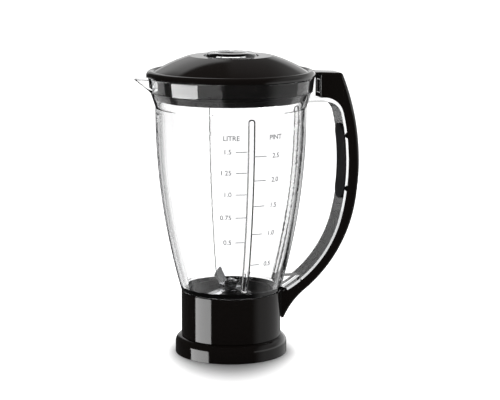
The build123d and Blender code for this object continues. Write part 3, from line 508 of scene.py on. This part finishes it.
# Painted shadow: the glow fades to nothing inside the oval round the base, leaving the sheet darker there.
glow_past_painted_shadow = patch(tree, (past_base, 0.0, 1.0, 0.0, 1.0))
print("shadow oval", SHADOW_SIDE, "m to the side and", SHADOW_FRONT, "m to the front")

# %% [markdown]
# ## Paper of the floor
# The camera, and rays through the clear walls towards the white paper, see the sheet glow at a strength of 1,
# which is white. A ray that was reflected and looks elsewhere sees a dim room. From below the sheet is clear,
# so that the underside of the base can be looked at.

# %% Paper of the floor
DIM_ROOM = 0.06
path = add(tree, "ShaderNodeLightPath").outputs
white = white_paper(tree, behind, right)
seen_through = add(tree, "ShaderNodeMath", {0: path["Is Transmission Ray"], 1: white}, operation="MULTIPLY")
looked_at = add(tree, "ShaderNodeMath", {0: path["Is Camera Ray"], 1: seen_through}, operation="MAXIMUM")
shining = add(tree, "ShaderNodeMath", {0: looked_at, 1: glow_past_painted_shadow}, operation="MULTIPLY")
glow = add(tree, "ShaderNodeEmission", {"Strength": shining})
sheet = add(tree, "ShaderNodeBsdfDiffuse", {"Color": linear("#d8d8d8")})
lit = add(tree, "ShaderNodeAddShader", {0: sheet, 1: glow})
dim = add(tree, "ShaderNodeEmission", {"Strength": DIM_ROOM})
not_white = add(tree, "ShaderNodeMath", {0: 1.0, 1: white}, operation="SUBTRACT")
off_paper = add(tree, "ShaderNodeMath", {0: reflected(tree, path), 1: not_white}, operation="MULTIPLY")
mirrored = after_reflection(tree, path)
sees_room = add(tree, "ShaderNodeMath", {0: mirrored, 1: off_paper}, operation="MAXIMUM")
either = add(tree, "ShaderNodeMixShader", {0: sees_room, 1: lit, 2: dim})
under = add(tree, "ShaderNodeNewGeometry").outputs["Backfacing"]
clear = add(tree, "ShaderNodeBsdfTransparent")
one_sided = add(tree, "ShaderNodeMixShader", {0: under, 1: either, 2: clear})
add(tree, "ShaderNodeOutputMaterial", {"Surface": one_sided})
floor_mesh.materials.append(paper)
print("floor nodes", len(tree.nodes))

# %% [markdown]
# ## World: sky and paper in the gloss
# The lid's dome mirrors what stands behind and above the jar. At the left that is a bright ceiling that
# ends in a soft edge, at the right a dimmer one, and low down the top of the paper sweep. A picture of a
# studio could be wrapped round the scene, but patches by direction need no file.

# %% World, sky and paper
world = bpy.data.worlds.new("studio")
bpy.context.scene.world = world
world.use_nodes = True
tree = world.node_tree
tree.nodes.clear()
ray = add(tree, "ShaderNodeTexCoord").outputs["Generated"]
behind = add(tree, "ShaderNodeVectorMath", {0: ray, 1: BEHIND}, operation="DOT_PRODUCT").outputs["Value"]
right = add(tree, "ShaderNodeVectorMath", {0: ray, 1: RIGHT}, operation="DOT_PRODUCT").outputs["Value"]
up = add(tree, "ShaderNodeSeparateXYZ", {"Vector": ray}).outputs["Z"]
left_sky = patch(tree, (up, 0.0, 0.45, 0.35, 1.05), (up, 0.64, 0.72, 1.0, 0.0),
                 (right, -0.06, 0.02, 1.0, 0.0), (right, -0.42, -0.28, 0.0, 1.0))
right_sky = patch(tree, (up, 0.28, 0.44, 0.8, 0.12), (right, -0.06, 0.02, 0.0, 1.0))
both_skies = add(tree, "ShaderNodeMath", {0: left_sky, 1: right_sky}, operation="ADD")
above_horizon = patch(tree, (behind, 0.2, 0.6, 0.0, 1.0), (up, 0.02, 0.16, 0.0, 1.0))
sky = add(tree, "ShaderNodeMath", {0: both_skies, 1: above_horizon}, operation="MULTIPLY")
paper_behind = patch(tree, (behind, 0.93, 0.98, 0.0, 1.1),
                     (up, 0.14, 0.26, 1.0, 0.0), (up, 0.0, 0.05, 0.0, 1.0))
back = add(tree, "ShaderNodeMath", {0: sky, 1: paper_behind}, operation="MAXIMUM")
print("sky in the gloss,", len(tree.nodes), "nodes")

# %% [markdown]
# ## World: room and window in the gloss
# To the right stands the rest of the room, which grows paler to the side, with a window at the height of
# the jar. Walls and a window could be modelled, but the gloss only needs their light. Two more patches give
# the black pieces something to mirror on that side.

# %% World, room and window
ROOM_SIDE = math.radians(110)
room_axis = RIGHT * math.sin(ROOM_SIDE) - BEHIND * math.cos(ROOM_SIDE)
room = add(tree, "ShaderNodeVectorMath", {0: ray, 1: room_axis}, operation="DOT_PRODUCT").outputs["Value"]
low_room = patch(tree, (room, 0.45, 0.8, DIM_ROOM, 0.75))
window = patch(tree, (room, 0.44, 0.5, 0.0, 1.2), (up, -0.16, -0.11, 0.0, 1.0), (up, 0.06, 0.16, 1.0, 0.0))
side = add(tree, "ShaderNodeMath", {0: low_room, 1: window}, operation="ADD")
mirrored = add(tree, "ShaderNodeMath", {0: back, 1: side}, operation="ADD")
print("room axis", [round(v, 3) for v in room_axis])

# %% [markdown]
# ## World: which ray sees what
# A plain white world could do, but the clear walls would vanish in it and the black gloss would turn pale.
# So the light path chooses: the camera sees white, rays through the clear walls see the white paper or the
# dark room, mirrored rays see sky, room and window, and all others get an even grey light, which fills the
# shadows at a plain level.

# %% World, joined
FILL, DARK_THROUGH, WHITE_THROUGH, WHITE = 0.5, 0.1, 1.12, 1.0
path = add(tree, "ShaderNodeLightPath").outputs
through = patch(tree, (white_paper(tree, behind, right), 0.0, 1.0, DARK_THROUGH, WHITE_THROUGH))
bent = add(tree, "ShaderNodeMix", {"Factor": path["Is Transmission Ray"], "A": FILL, "B": through})
studio = add(tree, "ShaderNodeMix", {"Factor": after_reflection(tree, path), "A": bent, "B": mirrored})
seen = add(tree, "ShaderNodeMix", {"Factor": path["Is Camera Ray"], "A": studio, "B": WHITE})
backdrop = add(tree, "ShaderNodeBackground", {"Strength": seen})
add(tree, "ShaderNodeOutputWorld", {"Surface": backdrop})
print("world nodes", len(tree.nodes))

# %% [markdown]
# ## Lamps
# A low softbox at the left gives the bright bands on the collar, the ring and the lid's skirt. Spot lamps
# could light the jar, but only a wide lamp shows as a band in gloss. It hangs mostly below the floor's
# level, where only mirror reflections find it, and lights no dull surface. A softbox above and behind lights
# the floor and the jar softly, and stays out of reflections.

# %% Lamps
def softbox(name, side_angle, distance, lamp_height, aim_height, width, tall, watts):
    """A rectangular softbox; the angle is measured from the camera, positive to its left."""
    turn = azimuth - math.radians(side_angle)
    data = bpy.data.lights.new(name, "AREA")
    data.shape = "RECTANGLE"
    data.size, data.size_y, data.energy = width, tall, watts
    lamp = bpy.data.objects.new(name, data)
    lamp.location = (math.sin(turn) * distance, -math.cos(turn) * distance, lamp_height)
    aim = Vector((0, 0, aim_height))
    lamp.rotation_euler = (aim - lamp.location).to_track_quat("-Z", "Y").to_euler()
    bpy.context.scene.collection.objects.link(lamp)
    return lamp


left_softbox = softbox("left_softbox", side_angle=68, distance=1.4, lamp_height=-0.245, aim_height=-0.245,
                       width=1.1, tall=0.61, watts=20.6)
left_softbox.visible_diffuse = False
top_softbox = softbox("top_softbox", side_angle=180, distance=0.5, lamp_height=1.6, aim_height=0.14,
                      width=1.2, tall=1.2, watts=14.0)
top_softbox.visible_glossy = False

# %% [markdown]
# ## View transform
# The picture is shown with the Standard view transform.

# %% View transform
bpy.context.scene.view_settings.view_transform = "Standard"
